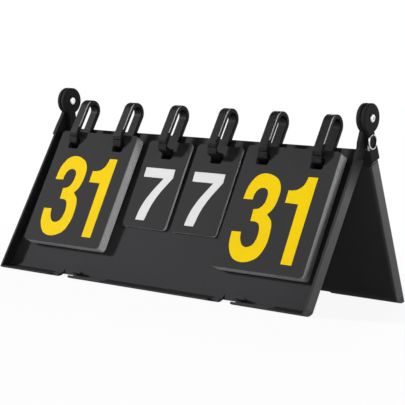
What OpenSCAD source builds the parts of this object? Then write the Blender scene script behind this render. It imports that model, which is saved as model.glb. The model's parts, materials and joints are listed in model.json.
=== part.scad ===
// Tabletop flip scoreboard: two tray halves on a riveted hinge, standing as an A-frame.
// The front half carries six plastic loops with two large and two small packs of number cards.
// Tray halves and cards are drawn upright in tray axes, then tilted into place:
// x runs along the width, y goes from the rim (0) to the back, z goes up the slope, hinge at 0.

/* [Tray halves] */
// Width over the side walls
tray_w = 390; // [351:1:440]
// Depth from the rim to the back, also the radius of the rounded bottom end
tray_d = 13.9; // [13.6:0.1:14.4]
// Length from the top edge of the floor to the bottom end
tray_len = 174.6; // [172:0.1:190]
// Thickness of the floor and of the rounded bottom wall
floor_t = 2.2; // [1.8:0.1:2.6]
// Thickness of the side walls
wall_t = 2.6; // [2:0.1:3.2]
// Radius of the corners between the back and the side walls
back_edge_r = 2.5; // [1:0.1:3]
// Gap between the halves where their back edges meet in the open stand
stop_gap = 0.15; // [0.1:0.05:0.3]
// Depth of the groove along the inner side of the bottom rim
groove_d = 1.2; // [0.8:0.1:2]
// Width of the groove along the inner side of the bottom rim
groove_w = 1.1; // [0.6:0.1:1.4]

/* [Catches on the bottom wall] */
// Distance from the tray's left side to the left catch group
catch_left_in = 71.2; // [60:0.1:85]
// Distance from the tray's right side to the right catch group
catch_right_in = 110.5; // [100:0.1:120]
// Width of the slot through the rim
slit_w = 9; // [6:0.5:11]
// Depth of the slot below the rim
slit_d = 5.5; // [4:0.5:9]
// Width of the thumb gap beside the slot
thumb_w = 18; // [12:0.5:22]
// Width of the plain rim beside the thumb gap
plain_w = 43.5; // [38:0.5:50]
// Distance from the group's left end to the catch tab
tab_shift = 25.5; // [20:0.5:40]
// Width of the catch tab
tab_w = 13.5; // [9:0.5:16]
// Thickness of the catch tab
tab_t = 1.8; // [1.4:0.1:2.4]
// Distance from the bottom end to the catch tab
tab_in = 7.4; // [6:0.1:9]
// Distance from the rim plane to the end of the catch tab
tab_set = 3; // [1:0.1:5]
// How far the nose of the catch tab stands out
tab_nose = 0.9; // [0.5:0.1:1.4]

/* [Hinge] */
// Distance from the hinge axis to the top edge of the floor
hinge_drop = 27.8; // [27.8:0.1:34]
// Radius of the round hinge ears
ear_r = 14.2; // [12:0.1:15]
// Thickness of each hinge ear
ear_t = 4.4; // [3.8:0.1:5]
// Distance from the inner face of the side wall to the outer ear
ear_set = 0.6; // [0.3:0.1:1]
// Bevel on the rims of the ears
ear_bevel = 0.7; // [0.3:0.1:1.2]
// Width of the neck below each ear
neck_w = 9.8; // [8:0.1:11]
// Setback of the neck from the rim plane
neck_set = 0.4; // [0.3:0.1:1]
// Distance from the hinge axis to where the outer arm starts to widen towards the rim
neck_end = 22; // [19:0.5:24]
// Distance from there to where the outer arm reaches the rim plane
flare_len = 9; // [6:0.5:12]
// Distance from the hinge axis to where both arms start to widen towards the back
back_flare = 16; // [14:0.5:18]
// Distance from there to where both arms reach the back
back_flare_len = 9; // [8:0.5:11]
// Distance from the hinge axis to where the inner arm starts to lean back
lean_start = 14; // [13:0.5:16]
// Setback of the inner arm from the rim plane at the end of that lean
lean_set = 2.4; // [1.5:0.1:3]
// Distance from the hinge axis to the end of that lean
lean_end = 25.4; // [24:0.1:26]
// Setback of the inner arm's block from the rim plane
block_set = 4.6; // [3.5:0.1:6]
// Distance from the hinge axis to the top of the inner arm's block
block_start = 29.5; // [28.5:0.1:32]
// Length of the outer arm's plate on the side wall
plate_len = 14.7; // [10:0.1:20]
// Bevel on the lower edge of the outer arm's plate
plate_bevel = 1; // [0.5:0.1:2]
// Length of the inner arm's block inside the tray
block_len = 24.7; // [22:0.1:30]
// Distance from the hinge axis to where the side wall starts beside the inner arm, at the rim
cutback_rim = 44.5; // [42:0.1:48]
// Distance from the hinge axis to where the side wall starts beside the inner arm, at the back
cutback_back = 37.5; // [35:0.1:40]
// Thickness of the friction washer between the ears
washer_t = 0.6; // [0.5:0.1:1]
// Radius of the friction washer
washer_r = 8; // [6:0.5:10]
// Play left on each side of the friction washer
washer_play = 0.1; // [0.05:0.01:0.15]
// Radius of the rivet's shank
rivet_r = 2.5; // [2:0.1:3]
// Clearance around the rivet's shank
rivet_clear = 0.05; // [0.02:0.01:0.1]
// Radius of the rivet's heads
rivet_head_r = 4; // [3.6:0.1:5]
// Height of the rivet's outer head
rivet_head_h = 1.5; // [1.2:0.05:2]
// Height of the rivet's inner head
rivet_inner_h = 1; // [0.8:0.05:1.4]
// Play under each rivet head
rivet_play = 0.1; // [0.05:0.05:0.2]

/* [Card loops] */
// Distance between the two loops of a large card
loop_spacing = 62.8; // [50:0.1:75]
// Share of the spare width that is left beside each large card
side_share = 0.187; // [0.12:0.001:0.22]
// Share of the spare width that is left between a large and a small card
between_share = 0.239; // [0.15:0.001:0.26]
// Width of the loop's band
band_w = 10.7; // [9:0.1:10.9]
// Thickness of the loop's band
band_t = 4.5; // [3.5:0.1:4.8]
// Radius of the band's rounded edges
band_edge_r = 0.9; // [0.3:0.1:1.4]
// Depth of the loop over its outside
loop_d = 22.4; // [22:0.1:22.6]
// Height of the loop's top above the hinge axis
loop_rise = 0.9; // [-1:0.1:1.5]
// Distance from the hinge axis to the underside of the loop's foot
foot_drop = 53.5; // [52:0.1:55]
// Height of the foot block that closes the front of the loop
foot_block_h = 6.1; // [5:0.1:7]
// Gap between the end of the front leg and the foot block
foot_gap = 0.6; // [0.3:0.1:0.8]
// Distance from the hinge axis to where the front of leg and foot turns upright
foot_bend = 43.5; // [42:0.1:44.5]
// Radius of the foot's lower front edge
foot_r = 1.6; // [1:0.1:2]
// Radius of the studs that hold the loop in the floor
stud_r = 1.9; // [1.5:0.1:2.2]
// Clearance around the studs
stud_clear = 0.05; // [0.02:0.01:0.1]
// Distance from the top edge of the floor to the upper stud
upper_stud_drop = 10.2; // [6:0.1:14]

/* [Cards] */
// Width of the large cards
large_w = 107; // [100:0.5:110]
// Height of the large cards
large_h = 128.5; // [112:0.5:134]
// Number of large cards in a pack
large_count = 16; // [8:1:16]
// Width of the small cards
small_w = 57; // [50:0.5:60]
// Height of the small cards
small_h = 96.5; // [82:0.5:110]
// Number of small cards in a pack
small_count = 4; // [2:1:8]
// Thickness of a card
card_t = 0.6; // [0.3:0.05:0.62]
// Distance from one card to the next in a pack
card_pitch = 0.65; // [0.63:0.01:0.66]
// Radius of the cards' corners
card_r = 4; // [2:0.5:7]
// Distance from the hinge axis to the top edge of the cards
card_drop = 38.6; // [38.3:0.1:39.2]
// Width of the slots in the cards
slot_w = 14.6; // [14.4:0.1:16]
// Height of the slots in the cards
slot_h = 11.6; // [11.2:0.1:12]
// Corner radius of the slots in the cards
slot_r = 2.5; // [1:0.1:4]
// Distance from the top edge of the cards to the slots
slot_top = 8.2; // [7.9:0.1:8.5]
// Gap between the back of a pack's top and the loop's rear leg
pack_gap = 0.4; // [0.3:0.05:0.6]
// Gap between the back of a pack's bottom and the floor
rest_gap = 0.3; // [0.2:0.05:0.5]
// Sideways spread of the cards in a pack
card_spread = 0.15; // [0:0.05:0.2]
// How far the last sheet of the left large pack lies to the right of the first
left_fan = 0.9; // [0:0.1:1.6]
// How far the last sheet of the right large pack lies to the right of the first
right_fan = 1.6; // [0:0.1:1.6]

/* [Tether ring] */
// Radius of the steel ring to the middle of its wire
ring_r = 6.8; // [5:0.05:7.2]
// Thickness of the ring's wire
ring_wire = 1.2; // [1:0.1:1.3]
// Gap between the ring and the arm
ring_gap = 0.2; // [0.15:0.05:0.4]
// Thickness of the wire eye that holds the ring
eye_wire = 0.8; // [0.6:0.1:0.9]
// Clearance around the ring's wire in the eye
eye_clear = 0.15; // [0.1:0.05:0.2]
// Distance from the hinge axis to the eye
eye_drop = 15.1; // [14.5:0.1:17]
// Distance of the eye from the rim plane
eye_set = 4.3; // [3:0.05:6]

/* [Hidden] */

$fn = 64;
eps = 0.01;
plastic_colour = [0.10, 0.10, 0.11];
loop_colour = [0.14, 0.14, 0.15];
card_colour = [0.13, 0.13, 0.13];
steel_colour = [0.78, 0.78, 0.80];

// Tilt of each half where the back edges of the two meet
edge_reach = norm([tray_d, hinge_drop]);
tilt = atan(tray_d / hinge_drop) + asin(stop_gap / 2 / edge_reach);

// Hinge axis height that puts the rounded bottom ends on the table
reach = hinge_drop + tray_len;
hinge_z = (reach - tray_d) * cos(tilt) + tray_d;
half_w = tray_w / 2;
floor_y = tray_d - floor_t;

// The ears of the two halves lie side by side: outer ear, washer, inner ear
outer_ear_x = half_w - wall_t + ear_set;
washer_space = washer_t + 2 * washer_play;
inner_ear_end = outer_ear_x - washer_space;
inner_ear_x = inner_ear_end - ear_t;
ear_face_x = outer_ear_x + ear_t;
plate_end = hinge_drop + plate_len;
block_end = hinge_drop + block_len;

// Loops: legs along the slope, round arch on top, foot through the slots of the cards
loop_back_y = floor_y;
loop_front_y = loop_back_y - loop_d;
arch_y = loop_back_y - loop_d / 2;
arch_r = loop_d / 2;
arch_z = loop_rise - arch_r;
foot_top_z = -foot_drop + band_t;
foot_block_z = -foot_drop + foot_block_h;
front_leg_end_z = foot_block_z + foot_gap;
foot_front_y = loop_front_y + (foot_drop - foot_bend) * tan(tilt);

// The cards share the room between the inner arms, and what is left over parts them
spare = 2 * (inner_ear_x - large_w - small_w);
large_x = inner_ear_x - side_share * spare - large_w / 2;
small_x = large_x - large_w / 2 - between_share * spare - small_w / 2;
loop_places = [-large_x - loop_spacing / 2, -large_x + loop_spacing / 2, -small_x,
  small_x, large_x - loop_spacing / 2, large_x + loop_spacing / 2];

// Packs of cards lean from the loops' rear legs down to the floor
pack_top_y = loop_back_y - band_t - pack_gap;
pack_bottom_y = loop_back_y - rest_gap;
large_slots = [-loop_spacing / 2, loop_spacing / 2];
small_slots = [0];
most_fan = side_share * spare / 2;

module front_place() {
  translate([0, 0, hinge_z])
    rotate([-tilt, 0, 0])
      children();
}

module rear_place() {
  rotate([0, 0, 180])
    front_place()
      children();
}

// Runs an outline drawn as [depth, height] along x from x0 to x1
module along_x(x0, x1) {
  translate([x0, 0, 0])
    rotate([90, 0, 90])
      linear_extrude(x1 - x0)
        children();
}

module block(x0, x1, y0, y1, z0, z1) {
  translate([x0, y0, z0])
    cube([x1 - x0, y1 - y0, z1 - z0]);
}

module round_rect(w, h, r) {
  translate([-w / 2 + r, 0])
    square([w - 2 * r, h]);
  translate([-w / 2, r])
    square([w, h - 2 * r]);
  for (x = [-w / 2 + r, w / 2 - r], z = [r, h - r])
    translate([x, z])
      circle(r);
}

// Side view of a tray or of its hollow: straight back, quarter-round bottom end
module tray_side(r, front, highest) {
  centre_z = -reach + tray_d;
  translate([front, centre_z])
    square([r - front, highest - centre_z]);
  intersection() {
    translate([0, centre_z])
      circle(r, $fn = 128);
    translate([0, -reach - 1])
      square([tray_d + 1, tray_d + 1]);
  }
  if (front < 0)
    translate([front, centre_z - r])
      square([-front, r]);
}

// Plan view of a tray with rounded back corners
module tray_plan() {
  translate([-half_w, 0])
    square([tray_w, tray_d - back_edge_r]);
  translate([-half_w + back_edge_r, 0])
    square([tray_w - 2 * back_edge_r, tray_d]);
  for (x = [-half_w + back_edge_r, half_w - back_edge_r])
    translate([x, tray_d - back_edge_r])
      circle(back_edge_r);
}

// Slot and thumb gap follow one another to the right of x0
module catch_cuts(x0) {
  block(x0, x0 + slit_w, -1, slit_d, -reach - 1, -reach + 4);
  block(x0 + slit_w - eps, x0 + slit_w + thumb_w, -1, floor_y, -reach - 1, -reach + tray_d);
}

module catch_tab(x0) {
  tab_z = -reach + tab_in;
  along_x(x0 + tab_shift, x0 + tab_shift + tab_w)
    polygon([[floor_y - 0.5, tab_z], [tab_set + 2 * tab_nose, tab_z],
      [tab_set + tab_nose, tab_z - tab_nose], [tab_set, tab_z], [tab_set, tab_z + tab_t],
      [floor_y - 0.5, tab_z + tab_t]]);
}

module rim_groove(x0, x1) {
  block(x0, x1, -1, groove_d, -reach + floor_t - groove_w, -reach + floor_t + 1);
}

// Side view of an arm below its ear: straight back edge that widens, with the given front edge
module arm_outline(end, front_edge) {
  back_x = neck_set + neck_w;
  polygon(concat([[neck_set, 0], [back_x, 0], [back_x, -back_flare],
    [tray_d, -back_flare - back_flare_len], [tray_d, -end]], front_edge));
}

// Round ear with bevelled rims, from x0 to x1
module ear(x0, x1) {
  thick = x1 - x0;
  translate([x0, 0, 0])
    rotate([90, 0, 90])
      rotate_extrude($fn = 96)
        polygon([[0, 0], [ear_r - ear_bevel, 0], [ear_r, ear_bevel],
          [ear_r, thick - ear_bevel], [ear_r - ear_bevel, thick], [0, thick]]);
}

// The outer arm goes on the left end: ear, neck and a bevelled plate on the side wall
module outer_arm() {
  intersection() {
    along_x(-ear_face_x, -outer_ear_x)
      arm_outline(plate_end, [[0, -plate_end], [0, -neck_end - flare_len],
        [neck_set, -neck_end]]);
    translate([0, tray_d + 1, 0])
      rotate([90, 0, 0])
        linear_extrude(tray_d + 2)
          polygon([[-ear_face_x, 1], [-ear_face_x, -plate_end + plate_bevel],
            [-ear_face_x + plate_bevel, -plate_end], [-outer_ear_x, -plate_end],
            [-outer_ear_x, 1]]);
  }
  ear(-ear_face_x, -outer_ear_x);
}

// The inner arm goes on the right end: ear, neck and a block in the corner of the tray
module inner_arm() {
  along_x(inner_ear_x, inner_ear_end)
    difference() {
      arm_outline(block_end, [[block_set, -block_end], [block_set, -block_start],
        [lean_set, -lean_end], [neck_set, -lean_start]]);
      translate([floor_y + 0.5, -block_end - 1])
        square([floor_t, block_end - cutback_rim + 1]);
    }
  ear(inner_ear_x, inner_ear_end);
  block(inner_ear_end - 1, outer_ear_x + 0.5, block_set, floor_y + 0.5,
    -block_end, -cutback_rim - 0.5);
}

// The side wall beside the inner arm is cut back along a slant
module wall_cutback() {
  slant = (cutback_rim - cutback_back) / tray_d;
  along_x(inner_ear_end, half_w + 1)
    polygon([[-1, -cutback_rim - slant], [tray_d + 1, -cutback_back + slant],
      [tray_d + 1, -hinge_drop + 1], [-1, -hinge_drop + 1]]);
}

module rivet_bores() {
  for (x = [-ear_face_x - 1, inner_ear_x - 1])
    translate([x, 0, 0])
      rotate([0, 90, 0])
        cylinder(h = ear_t + 2, r = rivet_r + rivet_clear);
}

module tray_half() {
  group_w = slit_w + thumb_w + plain_w;
  left_x = -half_w + catch_left_in;
  right_x = half_w - catch_right_in;
  difference() {
    union() {
      difference() {
        intersection() {
          along_x(-half_w, half_w)
            tray_side(tray_d, 0, -hinge_drop);
          translate([0, 0, -reach - 1])
            linear_extrude(tray_len + 2)
              tray_plan();
        }
        along_x(-half_w + wall_t, half_w - wall_t)
          tray_side(floor_y, -1, -hinge_drop + 1);
        for (x0 = [left_x, right_x])
          catch_cuts(x0);
        rim_groove(-half_w + wall_t, left_x + eps);
        rim_groove(left_x + group_w, right_x + eps);
        rim_groove(right_x + group_w, half_w - wall_t);
        wall_cutback();
      }
      outer_arm();
      inner_arm();
      for (x0 = [left_x, right_x])
        catch_tab(x0);
    }
    rivet_bores();
  }
}

// Round places along y for the studs of one loop
module stud_places() {
  for (z = [-hinge_drop - upper_stud_drop, -foot_drop + band_t / 2])
    translate([0, loop_back_y, z])
      rotate([-90, 0, 0])
        children();
}

module front_tray() {
  color(plastic_colour)
    front_place()
      difference() {
        tray_half();
        for (x = loop_places)
          translate([x, -1, 0])
            stud_places()
              cylinder(h = floor_t + 2, r = stud_r + stud_clear);
      }
}

module rear_tray() {
  color(plastic_colour)
    rear_place()
      tray_half();
}

// Head of a rivet: a dome with a dimple, drawn as [radius, height] points
function rivet_head(height) = let (dimple_r = rivet_r * 0.68, rise = height * 0.6)
  concat([[rivet_head_r, height - rise]],
    [for (a = [75:-15:0]) [dimple_r + (rivet_head_r - dimple_r) * sin(a),
      height - rise + rise * cos(a)]],
    [[dimple_r, height * 0.5], [0, height * 0.5]]);

// Tubular rivet through both ears of one end, drawn for the right end
module hinge_rivet() {
  x0 = inner_ear_x - rivet_play;
  grip = ear_face_x + rivet_play - x0;
  upper = rivet_head(rivet_head_h);
  lower = rivet_head(rivet_inner_h);
  count = len(lower);
  translate([x0, 0, 0])
    rotate([90, 0, 90])
      rotate_extrude()
        polygon(concat([for (i = [count - 1:-1:0]) [lower[i][0], -lower[i][1]]],
          [[rivet_head_r, 0], [rivet_r, 0], [rivet_r, grip], [rivet_head_r, grip]],
          [for (p = upper) [p[0], grip + p[1]]]));
}

module left_hinge_rivet() {
  color(steel_colour)
    translate([0, 0, hinge_z])
      mirror([1, 0, 0])
        hinge_rivet();
}

module right_hinge_rivet() {
  color(steel_colour)
    translate([0, 0, hinge_z])
      hinge_rivet();
}

module hinge_washer() {
  translate([inner_ear_x + ear_t + washer_play, 0, hinge_z])
    rotate([0, 90, 0])
      difference() {
        cylinder(h = washer_t, r = washer_r);
        translate([0, 0, -1])
          cylinder(h = washer_t + 2, r = rivet_r + rivet_clear);
      }
}

module left_hinge_washer() {
  color("dimgray")
    mirror([1, 0, 0])
      hinge_washer();
}

module right_hinge_washer() {
  color("dimgray")
    hinge_washer();
}

// Cross-section of a loop's band with rounded edges, centred
module band_section(thick, wide) {
  translate([0, -wide / 2])
    round_rect(thick, wide, band_edge_r);
}

// Band bent over the top: rear leg, half-round arch and front leg
module loop_band(x) {
  color(loop_colour)
    front_place()
      translate([x, 0, 0]) {
        translate([0, arch_y, arch_z])
          rotate([90, 0, 90])
            rotate_extrude(angle = 180)
              translate([arch_r - band_t / 2, 0])
                band_section(band_t, band_w);
        translate([0, loop_back_y - band_t / 2, foot_top_z])
          linear_extrude(arch_z - foot_top_z)
            band_section(band_w, band_t);
        difference() {
          translate([0, loop_front_y + band_t / 2, front_leg_end_z])
            linear_extrude(arch_z - front_leg_end_z)
              band_section(band_w, band_t);
          along_x(-band_w, band_w)
            polygon([[loop_front_y - 2, -foot_bend], [loop_front_y, -foot_bend],
              [foot_front_y, -foot_drop], [loop_front_y - 2, -foot_drop]]);
        }
        translate([0, 0, -hinge_drop - upper_stud_drop])
          loop_stud();
      }
}

module loop_stud() {
  translate([0, loop_back_y - eps, 0])
    rotate([-90, 0, 0])
      cylinder(h = floor_t + eps, r = stud_r);
}

// Side view of the foot: its front is upright in the open stand, with a rounded lower edge
module foot_outline() {
  run = tan(tilt);
  middle = [foot_front_y + foot_r * (1 / cos(tilt) - run), -foot_drop + foot_r];
  polygon(concat([[loop_back_y, foot_top_z], [loop_back_y, -foot_drop]],
    [for (i = [0:4]) let (a = 270 - i * (90 - tilt) / 4)
      [middle[0] + foot_r * cos(a), middle[1] + foot_r * sin(a)]],
    [[foot_front_y - foot_block_h * run, foot_block_z],
      [loop_front_y + band_t, foot_block_z], [loop_front_y + band_t, foot_top_z]]));
}

// Foot that carries the cards and closes the front of the loop
module loop_foot(x) {
  color(loop_colour)
    front_place()
      translate([x, 0, 0]) {
        intersection() {
          along_x(-band_w / 2, band_w / 2)
            foot_outline();
          translate([0, loop_back_y, -foot_drop])
            rotate([90, 0, 0])
              linear_extrude(loop_d)
                round_rect(band_w, foot_block_h + band_edge_r, band_edge_r);
        }
        translate([0, 0, -foot_drop + band_t / 2])
          loop_stud();
      }
}

module loop_1() { loop_band(loop_places[0]); }
module loop_2() { loop_band(loop_places[1]); }
module loop_3() { loop_band(loop_places[2]); }
module loop_4() { loop_band(loop_places[3]); }
module loop_5() { loop_band(loop_places[4]); }
module loop_6() { loop_band(loop_places[5]); }
module loop_foot_1() { loop_foot(loop_places[0]); }
module loop_foot_2() { loop_foot(loop_places[1]); }
module loop_foot_3() { loop_foot(loop_places[2]); }
module loop_foot_4() { loop_foot(loop_places[3]); }
module loop_foot_5() { loop_foot(loop_places[4]); }
module loop_foot_6() { loop_foot(loop_places[5]); }

// One card with its slots, front face at y = 0 and top edge at z = 0
module card(w, h, slots) {
  rotate([90, 0, 0])
    translate([0, 0, -card_t])
      linear_extrude(card_t)
        difference() {
          translate([0, -h])
            round_rect(w, h, card_r);
          for (s = slots)
            translate([s, -slot_top - slot_h])
              round_rect(slot_w, slot_h, slot_r);
        }
}

// Cards first to last of a pack, counted from the back; each lies a little off the others,
// and the ones at the back lie up to the fan's width to the right of the top one
module cards(x, w, h, count, slots, first, last, fan = 0) {
  lean = asin((pack_bottom_y - pack_top_y) / h);
  color(card_colour)
    front_place()
      translate([x, pack_top_y, -card_drop])
        rotate([lean, 0, 0])
          for (i = [first:last])
            translate([fan * (1 - i / (count - 1)) + (i == count - 1 ? 0 : card_spread * sin(i * 137)),
              -i * card_pitch - card_t, 0])
              card(w, h, slots);
}

module left_score_pack() {
  cards(-large_x, large_w, large_h, large_count, large_slots, 0, large_count - 2,
    min(left_fan, most_fan));
}

module right_score_pack() {
  cards(large_x, large_w, large_h, large_count, large_slots, 0, large_count - 2,
    min(right_fan, most_fan));
}

module left_set_pack() {
  cards(-small_x, small_w, small_h, small_count, small_slots, 0, small_count - 2);
}

module right_set_pack() {
  cards(small_x, small_w, small_h, small_count, small_slots, 0, small_count - 2);
}

module left_score_top_card() {
  cards(-large_x, large_w, large_h, large_count, large_slots, large_count - 1, large_count - 1);
}

module right_score_top_card() {
  cards(large_x, large_w, large_h, large_count, large_slots, large_count - 1, large_count - 1);
}

module left_set_top_card() {
  cards(-small_x, small_w, small_h, small_count, small_slots, small_count - 1, small_count - 1);
}

module right_set_top_card() {
  cards(small_x, small_w, small_h, small_count, small_slots, small_count - 1, small_count - 1);
}

// Steel ring hanging in a wire eye on the outer face of the rear half's outer arm
ring_x = -ear_face_x - ring_gap - ring_wire / 2;
eye_r = ring_wire / 2 + eye_clear + eye_wire / 2;

// Places a child at the eye, upright again
module eye_place() {
  rear_place()
    translate([ring_x, eye_set, -eye_drop])
      rotate([tilt, 0, 0])
        children();
}

module tether_ring() {
  color(steel_colour)
    eye_place()
      translate([0, 0, -ring_r])
        rotate([0, 90, 0])
          rotate_extrude()
            translate([ring_r, 0])
              circle(ring_wire / 2, $fn = 24);
}

module tether_eye() {
  color(steel_colour)
    eye_place() {
      rotate([90, 0, 0])
        rotate([0, 0, 90])
          rotate_extrude(angle = 180)
            translate([eye_r, 0])
              circle(eye_wire / 2, $fn = 24);
      for (z = [-eye_r, eye_r])
        translate([0, 0, z])
          rotate([0, 90, 0])
            cylinder(h = ring_wire / 2 + ring_gap, r = eye_wire / 2, $fn = 24);
    }
}

front_tray();
rear_tray();
left_hinge_rivet();
right_hinge_rivet();
left_hinge_washer();
right_hinge_washer();
loop_1();
loop_2();
loop_3();
loop_4();
loop_5();
loop_6();
loop_foot_1();
loop_foot_2();
loop_foot_3();
loop_foot_4();
loop_foot_5();
loop_foot_6();
left_score_pack();
right_score_pack();
left_set_pack();
right_set_pack();
left_score_top_card();
right_score_top_card();
left_set_top_card();
right_set_top_card();
tether_ring();
tether_eye();
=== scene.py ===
"""Tabletop flip scoreboard on a white table, seen from the right of its front."""

import json
import math

import bmesh
import bpy
from mathutils import Matrix, Vector


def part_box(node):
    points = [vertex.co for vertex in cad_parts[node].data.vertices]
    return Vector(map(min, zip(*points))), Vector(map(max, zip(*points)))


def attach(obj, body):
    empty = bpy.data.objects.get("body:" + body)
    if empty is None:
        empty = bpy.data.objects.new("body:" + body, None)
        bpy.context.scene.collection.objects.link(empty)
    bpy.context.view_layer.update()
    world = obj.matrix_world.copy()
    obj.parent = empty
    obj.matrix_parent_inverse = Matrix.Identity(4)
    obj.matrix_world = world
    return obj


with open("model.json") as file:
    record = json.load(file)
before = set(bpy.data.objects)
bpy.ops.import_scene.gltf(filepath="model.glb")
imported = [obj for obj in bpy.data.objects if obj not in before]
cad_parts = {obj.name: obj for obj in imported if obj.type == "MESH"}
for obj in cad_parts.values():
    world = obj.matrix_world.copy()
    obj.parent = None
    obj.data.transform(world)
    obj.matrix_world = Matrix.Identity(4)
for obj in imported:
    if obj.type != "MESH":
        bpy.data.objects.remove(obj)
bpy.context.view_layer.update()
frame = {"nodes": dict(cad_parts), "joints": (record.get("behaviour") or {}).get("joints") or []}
MM = 0.001


# Tray halves: two shallow trays, the same injection moulding in black ABS turned round.
# Their ears are riveted together at both ends, and the rounded bottom ends stand on the table.


def linear(hex_code):
    """An sRGB colour such as "2b2b2d" as linear red, green, blue and alpha."""
    values = [int(hex_code[i : i + 2], 16) / 255 for i in (0, 2, 4)]
    return [v / 12.92 if v <= 0.04045 else ((v + 0.055) / 1.055) ** 2.4 for v in values] + [1]


def add_node(owner, kind, settings=None, **links):
    """Adds a shader node of this kind to a material or world, with its settings by name.

    Each link sets an input to a value or joins it to (node, output). The input is given by its name, with _
    for a blank, or as i0, i1 and so on by its place.
    """
    tree = owner.node_tree
    node = tree.nodes.new("ShaderNode" + kind)
    for name, value in (settings or {}).items():
        setattr(node, name, value)
    for key, value in links.items():
        by_place = key[0] == "i" and key[1:].isdigit()
        socket = node.inputs[int(key[1:])] if by_place else node.inputs[key.replace("_", " ")]
        if isinstance(value, tuple) and hasattr(value[0], "outputs"):
            tree.links.new(value[0].outputs[value[1]], socket)
        else:
            socket.default_value = value
    return node


def new_material(name):
    """A material with no nodes yet."""
    material = bpy.data.materials.new(name)
    material.use_nodes = True
    material.node_tree.nodes.clear()
    return material


def dress(node_names, material):
    """Gives these CAD nodes this one material."""
    for name in node_names:
        slots = frame["nodes"][name].data.materials
        slots.clear()
        slots.append(material)


# Places on a tray half: across it from its middle, up its slope from the hinge axis, and out from its rim.
LEAN = math.radians(26.7033)
OUT_OF_TRAY = Vector((0, -math.cos(LEAN), math.sin(LEAN)))
UP_TRAY = Vector((0, math.sin(LEAN), math.cos(LEAN)))
OUTER_FACE_MM = 194.7
INNER_FACE_MM = 192.4
ARM_MM = 186.5
ARM_END_MM = -46
FADE_MM = 34
STEP_MM = -24
CHANNEL_LOW_MM, CHANNEL_HIGH_MM = -201.4, -194.9
CHANNEL_BACK_MM, CHANNEL_RIM_MM = -12.5, -1.0
CATCH_GROUPS_MM = ((-123.8, -53.3), (84.5, 155.0))
EDGE_MM = 0.5
# A face counts as facing a way when its normal goes this far along it.
FACING_SHARE = 0.7
STEP_SHARE = 0.3
# The real grain is finer. It is drawn this coarse so that it shows. The flow marks are broad clouds.
GRAIN_MM = 0.5
FLOW_MM = 45

hinge = next(j for j in frame["joints"] if j["name"] == "tray_hinge")
hinge_z = hinge["pos_m"][2]

# Moulded ABS: black, with a grain that makes the floor dull and even. The outer faces of the side walls come
# from a smoother part of the mould and shine. The hinge arms are coloured blacker as painted shade.
abs_plastic = new_material("moulded_abs")
place = add_node(abs_plastic, "TexCoord")
grain = add_node(abs_plastic, "TexNoise", Vector=(place, "Object"), Scale=1 / (GRAIN_MM * MM), Detail=2.0)
flow = add_node(abs_plastic, "TexNoise", Vector=(place, "Object"), Scale=1 / (FLOW_MM * MM), Detail=3.0)

# Both halves are alike, so places on the rear one are read as if it were the front one.
spot = add_node(abs_plastic, "SeparateXYZ", Vector=(place, "Object"))
sideways = add_node(abs_plastic, "Math", {"operation": "ABSOLUTE"}, i0=(spot, "X"))
backwards = add_node(abs_plastic, "Math", {"operation": "ABSOLUTE"}, i0=(spot, "Y"))
forwards = add_node(abs_plastic, "Math", {"operation": "MULTIPLY"}, i0=(backwards, 0), i1=-1.0)
over_hinge = add_node(abs_plastic, "Math", {"operation": "SUBTRACT"}, i0=(spot, "Z"), i1=hinge_z)
folded = add_node(abs_plastic, "CombineXYZ", X=(spot, "X"), Y=(forwards, 0), Z=(over_hinge, 0))
out_of_tray = add_node(
    abs_plastic, "VectorMath", {"operation": "DOT_PRODUCT"}, i0=(folded, 0), i1=OUT_OF_TRAY[:]
)
up_tray = add_node(abs_plastic, "VectorMath", {"operation": "DOT_PRODUCT"}, i0=(folded, 0), i1=UP_TRAY[:])
in_front = add_node(abs_plastic, "Math", {"operation": "LESS_THAN"}, i0=(spot, "Y"), i1=0.0)
facing = add_node(abs_plastic, "MapRange", Value=(in_front, 0), To_Min=-1.0, To_Max=1.0)
own_x = add_node(abs_plastic, "Math", {"operation": "MULTIPLY"}, i0=(spot, "X"), i1=(facing, 0))
normal = add_node(abs_plastic, "SeparateXYZ", Vector=(place, "Normal"))
ahead = add_node(abs_plastic, "Math", {"operation": "MULTIPLY"}, i0=(normal, "Y"), i1=(facing, 0))
own_normal = add_node(abs_plastic, "CombineXYZ", X=(normal, "X"), Y=(ahead, 0), Z=(normal, "Z"))

# Painted shade: the arms are coloured black, ending sharply on the rear half and fading down the walls on the
# front half.
fade_end = add_node(
    abs_plastic,
    "MapRange",
    Value=(in_front, 0),
    To_Min=ARM_END_MM * MM,
    To_Max=(ARM_END_MM - FADE_MM) * MM,
)
near_hinge = add_node(
    abs_plastic,
    "MapRange",
    Value=(up_tray, "Value"),
    From_Min=(fade_end, 0),
    From_Max=(ARM_END_MM + 2) * MM,
)
at_end = add_node(abs_plastic, "Math", {"operation": "GREATER_THAN"}, i0=(sideways, 0), i1=ARM_MM * MM)
arm_shade = add_node(abs_plastic, "Math", {"operation": "MULTIPLY"}, i0=(near_hinge, 0), i1=(at_end, 0))

# Painted shade: the inner faces of the side walls are coloured blacker.
turned = add_node(abs_plastic, "Math", {"operation": "ABSOLUTE"}, i0=(normal, "X"))
facing_in = add_node(abs_plastic, "Math", {"operation": "GREATER_THAN"}, i0=(turned, 0), i1=FACING_SHARE)
from_inner = add_node(abs_plastic, "Math", {"operation": "SUBTRACT"}, i0=(sideways, 0), i1=INNER_FACE_MM * MM)
off_inner = add_node(abs_plastic, "Math", {"operation": "ABSOLUTE"}, i0=(from_inner, 0))
at_inner = add_node(abs_plastic, "Math", {"operation": "LESS_THAN"}, i0=(off_inner, 0), i1=1.0 * MM)
inner_wall_shade = add_node(abs_plastic, "Math", {"operation": "MULTIPLY"}, i0=(facing_in, 0), i1=(at_inner, 0))
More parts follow.
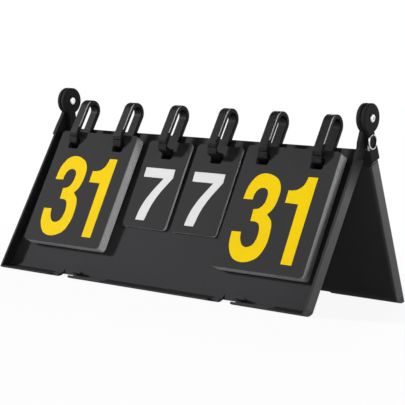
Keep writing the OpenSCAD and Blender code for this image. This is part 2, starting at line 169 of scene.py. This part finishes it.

# Painted shade: the channel inside the end wall is coloured dark. It stops at the two groups of catches.
under_top = add_node(
    abs_plastic, "Math", {"operation": "LESS_THAN"}, i0=(up_tray, "Value"), i1=CHANNEL_HIGH_MM * MM
)
over_end = add_node(
    abs_plastic, "Math", {"operation": "GREATER_THAN"}, i0=(up_tray, "Value"), i1=CHANNEL_LOW_MM * MM
)
inside_rim = add_node(
    abs_plastic, "Math", {"operation": "LESS_THAN"}, i0=(out_of_tray, "Value"), i1=CHANNEL_RIM_MM * MM
)
over_back = add_node(
    abs_plastic, "Math", {"operation": "GREATER_THAN"}, i0=(out_of_tray, "Value"), i1=CHANNEL_BACK_MM * MM
)
channel_shade = under_top
for mask in (over_end, inside_rim, over_back):
    channel_shade = add_node(abs_plastic, "Math", {"operation": "MULTIPLY"}, i0=(channel_shade, 0), i1=(mask, 0))
for start, end in CATCH_GROUPS_MM:
    middle, half = (start + end) / 2 * MM, (end - start) / 2 * MM
    from_group = add_node(abs_plastic, "Math", {"operation": "SUBTRACT"}, i0=(own_x, 0), i1=middle)
    distance = add_node(abs_plastic, "Math", {"operation": "ABSOLUTE"}, i0=(from_group, 0))
    beyond = add_node(abs_plastic, "Math", {"operation": "GREATER_THAN"}, i0=(distance, 0), i1=half)
    channel_shade = add_node(abs_plastic, "Math", {"operation": "MULTIPLY"}, i0=(channel_shade, 0), i1=(beyond, 0))

# Painted highlight: the step at the lower end of each outer arm is coloured light.
upwards = add_node(abs_plastic, "VectorMath", {"operation": "DOT_PRODUCT"}, i0=(own_normal, 0), i1=UP_TRAY[:])
step_highlight = add_node(abs_plastic, "Math", {"operation": "LESS_THAN"}, i0=(upwards, "Value"), i1=-STEP_SHARE)
on_arm = add_node(
    abs_plastic, "Math", {"operation": "GREATER_THAN"}, i0=(sideways, 0), i1=(OUTER_FACE_MM + 0.5) * MM
)
arm_low = add_node(abs_plastic, "Math", {"operation": "LESS_THAN"}, i0=(up_tray, "Value"), i1=STEP_MM * MM)
for mask in (on_arm, arm_low):
    step_highlight = add_node(abs_plastic, "Math", {"operation": "MULTIPLY"}, i0=(step_highlight, 0), i1=(mask, 0))

tray_colour = add_node(
    abs_plastic, "Mix", {"data_type": "RGBA"}, Factor=(flow, "Fac"), i6=linear("2e2e30"), i7=linear("333335")
)
# Painted shade on the inner walls, the arms and the end channel, and a painted highlight on the arm steps.
for share, colour in ((inner_wall_shade, "0a0a0b"), (arm_shade, "0d0d0f"), (step_highlight, "e4e4e4"), (channel_shade, "060607")):
    tray_colour = add_node(
        abs_plastic, "Mix", {"data_type": "RGBA"}, Factor=(share, 0), i6=(tray_colour, 2), i7=linear(colour)
    )

wall = add_node(abs_plastic, "Math", {"operation": "GREATER_THAN"}, i0=(sideways, 0), i1=OUTER_FACE_MM * MM)
wall_roughness = add_node(abs_plastic, "MapRange", Value=(wall, 0), To_Min=0.95, To_Max=0.36)
arm_roughness = add_node(abs_plastic, "Mix", Factor=(arm_shade, 0), i2=(wall_roughness, 0), i3=0.82)
unevenness = add_node(abs_plastic, "MapRange", Value=(flow, "Fac"), To_Min=-0.05, To_Max=0.05)
roughness = add_node(abs_plastic, "Math", {"operation": "ADD"}, i0=(arm_roughness, 0), i1=(unevenness, 0))
rounding = add_node(abs_plastic, "Bevel", {"samples": 6}, Radius=EDGE_MM * MM)
bump = add_node(
    abs_plastic, "Bump", Strength=0.15, Distance=0.02 * MM, Height=(grain, "Fac"), Normal=(rounding, 0)
)
surface = add_node(
    abs_plastic,
    "BsdfPrincipled",
    Base_Color=(tray_colour, 2),
    Roughness=(roughness, 0),
    Specular_IOR_Level=0.22,
    IOR=1.53,
    Normal=(bump, "Normal"),
)
add_node(abs_plastic, "OutputMaterial", Surface=(surface, "BSDF"))
dress(["front_tray", "rear_tray"], abs_plastic)


# Loops and feet: black nylon bands bent over the top of the front half, which the cards flip over.
# Each is moulded open, and its foot is pressed on after the cards and closes its front.
BAND_EDGE_WAY = (0.707, -0.632, 0.318)
HIGHLIGHT_LOW_MM = -27
HIGHLIGHT_OUT_MM = 8
# The speckle is coarser than the real one, so that it shows as it does in the photograph.
SPECKLE_MM = 1.1

# Moulded nylon: glass-filled, out of a spark-eroded mould, so it is dark, dull and speckled.
nylon = new_material("moulded_nylon")
place = add_node(nylon, "TexCoord")
speckle = add_node(nylon, "TexNoise", Vector=(place, "Object"), Scale=1 / (SPECKLE_MM * MM), Detail=2.0)
contrast = add_node(nylon, "MapRange", Value=(speckle, "Fac"), From_Min=0.4, From_Max=0.6)
speckled = add_node(
    nylon, "Mix", {"data_type": "RGBA"}, Factor=(contrast, 0), i6=linear("020203"), i7=linear("222224")
)

# Painted highlight: the band's right-hand front edge is coloured bright above the foot.
rounding = add_node(nylon, "Bevel", {"samples": 8}, Radius=EDGE_MM * MM)
edge_way = add_node(nylon, "VectorMath", {"operation": "DOT_PRODUCT"}, i0=(rounding, 0), i1=BAND_EDGE_WAY)
edge_highlight = add_node(nylon, "MapRange", Value=(edge_way, "Value"), From_Min=0.82, From_Max=0.95)
level = add_node(nylon, "SeparateXYZ", Vector=(place, "Object"))
over_foot = add_node(
    nylon, "Math", {"operation": "GREATER_THAN"}, i0=(level, "Z"), i1=hinge_z + HIGHLIGHT_LOW_MM * MM
)
outwards = add_node(
    nylon, "VectorMath", {"operation": "DOT_PRODUCT"}, i0=(place, "Object"), i1=OUT_OF_TRAY[:]
)
front_leg = add_node(
    nylon,
    "Math",
    {"operation": "GREATER_THAN"},
    i0=(outwards, "Value"),
    i1=hinge_z * OUT_OF_TRAY.z + HIGHLIGHT_OUT_MM * MM,
)
for mask in (over_foot, front_leg):
    edge_highlight = add_node(nylon, "Math", {"operation": "MULTIPLY"}, i0=(edge_highlight, 0), i1=(mask, 0))
loop_colour = add_node(
    nylon, "Mix", {"data_type": "RGBA"}, Factor=(edge_highlight, 0), i6=(speckled, 2), i7=linear("dcdcdc")
)

roughness = add_node(nylon, "MapRange", Value=(speckle, "Fac"), To_Min=0.42, To_Max=0.58)
bump = add_node(
    nylon, "Bump", Strength=0.7, Distance=0.12 * MM, Height=(speckle, "Fac"), Normal=(rounding, 0)
)
surface = add_node(
    nylon,
    "BsdfPrincipled",
    Base_Color=(loop_colour, 2),
    Roughness=(roughness, 0),
    Specular_IOR_Level=0.07,
    IOR=1.53,
    Normal=(bump, "Normal"),
)
add_node(nylon, "OutputMaterial", Surface=(surface, "BSDF"))
dress([f"loop_{i}" for i in range(1, 7)] + [f"loop_foot_{i}" for i in range(1, 7)], nylon)


# Hinge rivets, tether ring and wire eye: steel with a thin coat of nickel.
# The rivets are tubular and rolled over at both ends; the eye's wire goes into the rear half's arm.
HANDLING_MM = 0.6

# Nickel plate: a warm grey metal, bright but clouded by handling.
nickel = new_material("nickel_plated_steel")
place = add_node(nickel, "TexCoord")
handling = add_node(nickel, "TexNoise", Vector=(place, "Object"), Scale=1 / (HANDLING_MM * MM), Detail=3.0)
roughness = add_node(nickel, "MapRange", Value=(handling, "Fac"), To_Min=0.22, To_Max=0.42)
surface = add_node(
    nickel, "BsdfPrincipled", Base_Color=linear("c9c8c4"), Metallic=1.0, Roughness=(roughness, 0)
)
add_node(nickel, "OutputMaterial", Surface=(surface, "BSDF"))
dress(["left_hinge_rivet", "right_hinge_rivet", "tether_ring", "tether_eye"], nickel)


# Friction washers: stamped from hard fibre, one between the two ears of each end.
# The rivets squeeze them, and they hold the rear half where it is put.
FIBRE_MM = 0.5

# Hard fibre: nearly black and dull, with short fibres that show as a faint mottle.
fibre_board = new_material("hard_fibre")
place = add_node(fibre_board, "TexCoord")
fibre = add_node(fibre_board, "TexNoise", Vector=(place, "Object"), Scale=1 / (FIBRE_MM * MM), Detail=4.0)
washer_colour = add_node(
    fibre_board, "Mix", {"data_type": "RGBA"}, Factor=(fibre, "Fac"), i6=linear("1c1b1a"), i7=linear("2a2927")
)
surface = add_node(fibre_board, "BsdfPrincipled", Base_Color=(washer_colour, 2), Roughness=0.7)
add_node(fibre_board, "OutputMaterial", Surface=(surface, "BSDF"))
dress(["left_hinge_washer", "right_hinge_washer"], fibre_board)


# Number cards: sheets of pale PVC, cut after a black print on both faces, so that their edges stay pale.
# They hang by their slots on the loops' feet and lean back onto the tray.
# The slots lie at least this far from a card's sides, and no further than this from its top.
SLOT_SIDE_MM = 8
SLOT_REACH_MM = 40
SHEET_PITCH_MM = 0.65
PRINT_CLOUD_MM = 30
PRINT_GRAIN_MM = 0.8


def face_of(node):
    """The middle of the top edge of a card's front face, and the ways right, down and out of that face."""
    mesh = frame["nodes"][node].data
    out = max(mesh.polygons, key=lambda p: p.area).normal.copy()
    if out.y > 0:
        out.negate()
    right = Vector((1, 0, 0))
    down = out.cross(right).normalized()
    if down.z > 0:
        down.negate()
    xs = [v.co.x for v in mesh.vertices]
    top = min(v.co.dot(down) for v in mesh.vertices)
    depth = max(v.co.dot(out) for v in mesh.vertices)
    return right * (min(xs) + max(xs)) / 2 + down * top + out * depth, right, down, out


def card_material(name, node, front_edge, back_edge):
    """Printed PVC: an even dull black print on the faces, painted shade in black on the slot walls and the
    card edges near the slots, and pale cut edges.

    The edges go from one colour to the other over the first sheets, and differ a little from sheet to sheet.
    """
    top, right, down, out = face_of(node)
    low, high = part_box(node)
    half = (high[0] - low[0]) / 2
    pvc = new_material(name)
    place = add_node(pvc, "TexCoord")

    along = add_node(pvc, "VectorMath", {"operation": "DOT_PRODUCT"}, i0=(place, "Normal"), i1=out[:])
    flatness = add_node(pvc, "Math", {"operation": "ABSOLUTE"}, i0=(along, "Value"))
    on_face = add_node(pvc, "Math", {"operation": "GREATER_THAN"}, i0=(flatness, 0), i1=FACING_SHARE)
    from_middle = add_node(
        pvc, "VectorMath", {"operation": "SUBTRACT"}, i0=(place, "Object"), i1=(top.dot(right), 0, 0)
    )
    spot = add_node(pvc, "SeparateXYZ", Vector=(from_middle, 0))
    sideways = add_node(pvc, "Math", {"operation": "ABSOLUTE"}, i0=(spot, "X"))
    inside = add_node(
        pvc, "Math", {"operation": "LESS_THAN"}, i0=(sideways, 0), i1=half - SLOT_SIDE_MM * MM
    )
    lowered = add_node(pvc, "VectorMath", {"operation": "DOT_PRODUCT"}, i0=(place, "Object"), i1=down[:])
    slot_end = top.dot(down) + SLOT_REACH_MM * MM
    near_slots = add_node(pvc, "Math", {"operation": "LESS_THAN"}, i0=(lowered, "Value"), i1=slot_end)
    slot_shade = add_node(pvc, "Math", {"operation": "MULTIPLY"}, i0=(inside, 0), i1=(near_slots, 0))
    # Painted shade: the slot walls and the edges within reach of the slots take the black of the print.
    print_and_slot_shade = add_node(pvc, "Math", {"operation": "MAXIMUM"}, i0=(on_face, 0), i1=(slot_shade, 0))

    height = add_node(pvc, "VectorMath", {"operation": "DOT_PRODUCT"}, i0=(place, "Object"), i1=out[:])
    depth = add_node(pvc, "Math", {"operation": "SUBTRACT"}, i0=top.dot(out), i1=(height, "Value"))
    sheets = add_node(pvc, "Math", {"operation": "DIVIDE"}, i0=(depth, 0), i1=SHEET_PITCH_MM * MM)
    number = add_node(pvc, "Math", {"operation": "FLOOR"}, i0=(sheets, 0))
    chance = add_node(pvc, "TexWhiteNoise", {"noise_dimensions": "1D"}, W=(number, 0))
    deeper = add_node(pvc, "MapRange", Value=(number, 0), From_Min=0.0, From_Max=2.5)
    core = add_node(
        pvc, "Mix", {"data_type": "RGBA"}, Factor=(deeper, 0), i6=linear(front_edge), i7=linear(back_edge)
    )

    # Painted shade: the edges that face down are darkened. The edges also darken a little at random from
    # sheet to sheet.
    low_way = add_node(pvc, "VectorMath", {"operation": "DOT_PRODUCT"}, i0=(place, "Normal"), i1=down[:])
    lower_edge_shade = add_node(pvc, "MapRange", Value=(low_way, "Value"), From_Min=0.5, To_Max=0.55)
    spread = add_node(pvc, "Math", {"operation": "MULTIPLY"}, i0=(chance, "Value"), i1=0.2)
    sheet_tone_and_shade = add_node(pvc, "Math", {"operation": "MAXIMUM"}, i0=(spread, 0), i1=(lower_edge_shade, 0))
    edge = add_node(pvc, "Mix", {"data_type": "RGBA"}, Factor=(sheet_tone_and_shade, 0), i6=(core, 2), i7=linear("6c706f"))

    cloud = add_node(pvc, "TexNoise", Vector=(place, "Object"), Scale=1 / (PRINT_CLOUD_MM * MM), Detail=3.0)
    black = add_node(
        pvc, "Mix", {"data_type": "RGBA"}, Factor=(cloud, "Fac"), i6=linear("2f2f30"), i7=linear("343436")
    )
    colour = add_node(pvc, "Mix", {"data_type": "RGBA"}, Factor=(print_and_slot_shade, 0), i6=(edge, 2), i7=(black, 2))
    grain = add_node(pvc, "TexNoise", Vector=(place, "Object"), Scale=1 / (PRINT_GRAIN_MM * MM), Detail=1.0)
    bump = add_node(pvc, "Bump", Strength=0.06, Distance=0.02 * MM, Height=(grain, "Fac"))
    surface = add_node(
        pvc,
        "BsdfPrincipled",
        Base_Color=(colour, 2),
        Roughness=0.7,
        Specular_IOR_Level=0.05,
        IOR=1.5,
        Normal=(bump, "Normal"),
    )
    add_node(pvc, "OutputMaterial", Surface=(surface, "BSDF"))
    return pvc


# The right pack's front sheet edges are a darker grey than the left pack's, as painted shade.
for side, edges in (("left", ("a3a6a5", "eceeec")), ("right", ("767978", "eceeec"))):
    for kind in ("score", "set"):
        top_card = f"{side}_{kind}_top_card"
        pvc = card_material(f"printed_pvc_{side}_{kind}", top_card, *edges)
        dress([top_card, f"{side}_{kind}_pack"], pvc)


# Figures: thick screen ink on the top card of each pack, yellow on the large cards, white on the small.
# Each is a film of ink, drawn on the card's face in millimetres from the middle of its top edge.
FILM_MM = 0.02
FILM_START_MM = 0.005
INK_CLOUD_MM = 12


def ink_material(name, low, high):
    """Screen ink: a full, opaque colour, a little uneven and quite dull."""
    ink = new_material(name)
    place = add_node(ink, "TexCoord")
    cloud = add_node(ink, "TexNoise", Vector=(place, "Object"), Scale=1 / (INK_CLOUD_MM * MM), Detail=4.0)
    colour = add_node(
        ink, "Mix", {"data_type": "RGBA"}, Factor=(cloud, "Fac"), i6=linear(low), i7=linear(high)
    )
    surface = add_node(
        ink, "BsdfPrincipled", Base_Color=(colour, 2), Roughness=0.6, Specular_IOR_Level=0.03, IOR=1.5
    )
    add_node(ink, "OutputMaterial", Surface=(surface, "BSDF"))
    return ink


yellow_ink = ink_material("yellow_screen_ink", "e6c200", "eecb02")
white_ink = ink_material("white_screen_ink", "d3d3d3", "dfdfdf")


def smooth(*points, steps=8):
    """A smooth curve through all these points, which may turn sharply only at its two ends."""
    before = [tuple(2 * a - b for a, b in zip(points[0], points[1]))]
    after = [tuple(2 * a - b for a, b in zip(points[-1], points[-2]))]
    path = before + list(points) + after
    curve = []
    for p0, p1, p2, p3 in zip(path, path[1:], path[2:], path[3:]):
        for i in range(steps):
            t = i / steps
            curve.append(
                tuple(
                    b + 0.5 * t * (c - a + t * (2 * a - 5 * b + 4 * c - d + t * (3 * b - a - 3 * c + d)))
                    for a, b, c, d in zip(p0, p1, p2, p3)
                )
            )
    return curve + [points[-1]]


# The bold condensed figures: x to the right and y down. The 3 goes round its upper bowl, its lower bowl
# and back along the inside of both.
UPPER_BOWL = smooth(
    (-39.4, 57), (-37.9, 43.2), (-31.5, 32), (-20.8, 28.5), (-7.5, 32.6), (-0.6, 42), (0.3, 54), (-1.8, 63.8),
    (-6.4, 70.4),
)
LOWER_BOWL = smooth(
    (-6.4, 70.4), (0.6, 77), (3.4, 87.5), (3.2, 102), (-3, 115), (-16.5, 120.8), (-29.6, 118), (-38, 106.6),
    (-40.5, 91.2),
)
LOWER_INSIDE = smooth(
    (-29.6, 90.8), (-27.9, 97.6), (-24, 103.6), (-18, 105.5), (-11.6, 101.9), (-9.2, 92), (-11.5, 82.4),
    (-16, 79.2), (-22.9, 78.7),
)
UPPER_INSIDE = smooth(
    (-23.7, 66.6), (-17.6, 65), (-13.4, 59.4), (-12.6, 51), (-15, 45.4), (-20.6, 43.6), (-25.8, 46.2),
    (-28.1, 51), (-28.3, 56.7),
)
FIGURE_3 = UPPER_BOWL + LOWER_BOWL + LOWER_INSIDE + UPPER_INSIDE
FIGURE_1 = [(37.3, 28.4), (37.9, 117.7), (25.7, 117.7), (24.5, 56.8), (9.4, 56.6)] + smooth(
    (9, 43.8), (14.6, 43.4), (20, 41.6), (24.6, 36.6), (26.7, 28.4)
)
FIGURE_7 = (
    [(-21.3, 30.4), (17, 30.4)]
    + smooth((17.6, 39.8), (7.6, 56.4), (1.5, 71.5), (-1.7, 88.6))
    + smooth((-13.1, 88.6), (-11.4, 75.2), (-5.7, 60.2), (5.8, 41.1))
    + [(-20.9, 41.1)]
)


def print_figure(name, outline, node, body, ink):
    """Lays a film of ink with that outline on the card's front face."""
    top, right, down, out = face_of(node)
    mesh = bmesh.new()
    corners = []
    for x, y in outline:
        spot = top + right * (x * MM) + down * (y * MM) + out * (FILM_START_MM * MM)
        if not corners or (spot - corners[-1]).length > 0.01 * MM:
            corners.append(spot)
    face = mesh.faces.new([mesh.verts.new(corner) for corner in corners])
    mesh.normal_update()
    if face.normal.dot(out) < 0:
        face.normal_flip()
    bmesh.ops.triangulate(mesh, faces=[face])
    film = bmesh.ops.extrude_face_region(mesh, geom=mesh.faces[:])
    raised = [item for item in film["geom"] if isinstance(item, bmesh.types.BMVert)]
    bmesh.ops.translate(mesh, verts=raised, vec=out * (FILM_MM * MM))
    bmesh.ops.recalc_face_normals(mesh, faces=mesh.faces[:])
    data = bpy.data.meshes.new(name)
    mesh.to_mesh(data)
    mesh.free()
    data.materials.append(ink)
    piece = bpy.data.objects.new(name, data)
    bpy.context.scene.collection.objects.link(piece)
    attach(piece, body)


for side in ("left", "right"):
    score_card, score_body = f"{side}_score_top_card", f"{side}_score_card"
    print_figure(f"{side}_score_3", FIGURE_3, score_card, score_body, yellow_ink)
    print_figure(f"{side}_score_1", FIGURE_1, score_card, score_body, yellow_ink)
    print_figure(f"{side}_set_7", FIGURE_7, f"{side}_set_top_card", f"{side}_set_card", white_ink)


# Camera: where the photograph was taken from, found by fitting a pinhole camera to it.
# Its place is measured from the middle of the hinge axis.
CAMERA_MM = (870.07, -1131.1, -4.49)
YAW, PITCH, ROLL = (math.radians(a) for a in (37.49, 3.70, -3.46))
FOCAL_PX = 1385.01
IMAGE_PX = 405

forward = Vector((-math.sin(YAW) * math.cos(PITCH), math.cos(YAW) * math.cos(PITCH), -math.sin(PITCH)))
level = Vector((math.cos(YAW), math.sin(YAW), 0))
below = forward.cross(level)
across = level * math.cos(ROLL) + below * math.sin(ROLL)
image_down = below * math.cos(ROLL) - level * math.sin(ROLL)
camera_data = bpy.data.cameras.new("camera")
camera_data.sensor_width = 36
camera_data.lens = FOCAL_PX / IMAGE_PX * camera_data.sensor_width
camera_data.clip_start, camera_data.clip_end = 0.01, 100
camera = bpy.data.objects.new("camera", camera_data)
bpy.context.scene.collection.objects.link(camera)
stand = Vector((CAMERA_MM[0] * MM, CAMERA_MM[1] * MM, hinge_z + CAMERA_MM[2] * MM))
turn = Matrix((across, -image_down, -forward)).transposed().to_4x4()
camera.matrix_world = Matrix.Translation(stand) @ turn
bpy.context.scene.camera = camera


# Table: a plain white sweep. The camera and shiny things see it nearly white near the board, whose shadow
# stays on it, and quite white further off, where it runs into the studio behind.
TABLE_REACH = 8
SWEEP_START, SWEEP_END = 0.3, 1.2
WHITE_NEAR = 0.92

table_mesh = bmesh.new()
bmesh.ops.create_grid(table_mesh, x_segments=1, y_segments=1, size=TABLE_REACH)
table_data = bpy.data.meshes.new("table")
table_mesh.to_mesh(table_data)
table_mesh.free()
table = bpy.data.objects.new("table", table_data)
bpy.context.scene.collection.objects.link(table)
paper = new_material("white_table")
path = add_node(paper, "LightPath")
seen = add_node(
    paper, "Math", {"operation": "MAXIMUM"}, i0=(path, "Is Camera Ray"), i1=(path, "Is Glossy Ray")
)
place = add_node(paper, "TexCoord")
reach = add_node(paper, "VectorMath", {"operation": "LENGTH"}, i0=(place, "Object"))
sweep = add_node(
    paper,
    "MapRange",
    Value=(reach, "Value"),
    From_Min=SWEEP_START,
    From_Max=SWEEP_END,
    To_Min=WHITE_NEAR,
    To_Max=1.0,
)
share = add_node(paper, "Math", {"operation": "MULTIPLY"}, i0=(seen, 0), i1=(sweep, 0))
matt = add_node(paper, "BsdfDiffuse", Color=linear("f2f2f2"))
bright = add_node(paper, "Emission", Color=linear("ffffff"), Strength=1.0)
both = add_node(paper, "MixShader", Fac=(share, 0), i1=(matt, 0), i2=(bright, 0))
add_node(paper, "OutputMaterial", Surface=(both, 0))
table_data.materials.append(paper)


# Studio: the camera sees plain white. Shiny things see that white too, down to a dimmer ceiling overhead,
# and the light that comes from all round is low.
AMBIENT = 0.11
CEILING = 0.25

world = bpy.data.worlds.new("studio")
bpy.context.scene.world = world
world.use_nodes = True
world.node_tree.nodes.clear()
path = add_node(world, "LightPath")
shiny = add_node(
    world, "Math", {"operation": "MAXIMUM"}, i0=(path, "Is Glossy Ray"), i1=(path, "Is Transmission Ray")
)
place = add_node(world, "TexCoord")
heading = add_node(world, "SeparateXYZ", Vector=(place, "Generated"))
above = add_node(
    world, "MapRange", Value=(heading, "Z"), From_Min=0.15, From_Max=0.6, To_Min=1.0, To_Max=CEILING
)
soft = add_node(world, "Mix", Factor=(shiny, 0), i2=AMBIENT, i3=(above, 0))
strength = add_node(world, "Mix", Factor=(path, "Is Camera Ray"), i2=(soft, 0), i3=1.0)
background = add_node(world, "Background", Color=linear("ffffff"), Strength=(strength, 0))
add_node(world, "OutputWorld", Surface=(background, 0))


# Lamps: a distant key from the low left front, softboxes at the right and the back, and a panel behind the
# right end that gives the side walls their sheen. The camera sees none of them.


def add_lamp(name, place, aim, size, watts):
    """A square softbox of this size at this place, turned to the point it is aimed at."""
    data = bpy.data.lights.new(name, "AREA")
    data.shape = "SQUARE"
    data.size = size
    data.energy = watts
    lamp = bpy.data.objects.new(name, data)
    bpy.context.scene.collection.objects.link(lamp)
    lamp.visible_camera = False
    way = Vector(aim) - Vector(place)
    turn = way.to_track_quat("-Z", "Y").to_matrix().to_4x4()
    lamp.matrix_world = Matrix.Translation(Vector(place)) @ turn


add_lamp("key", place=(-6.39, -3.84, 2.99), aim=(0, 0, 0.1), size=0.9, watts=830)
add_lamp("right_softbox", place=(2.0, -0.5, 0.33), aim=(0.1, 0, 0.1), size=0.8, watts=13.5)
add_lamp("back_right_panel", place=(1.4, 1.6, 0.45), aim=(0.15, 0, 0.1), size=0.9, watts=5.8)
add_lamp("back_softbox", place=(-1.3, 2.7, 1.7), aim=(0, 0, 0.1), size=1.0, watts=50)

bpy.context.scene.view_settings.view_transform = "Standard"
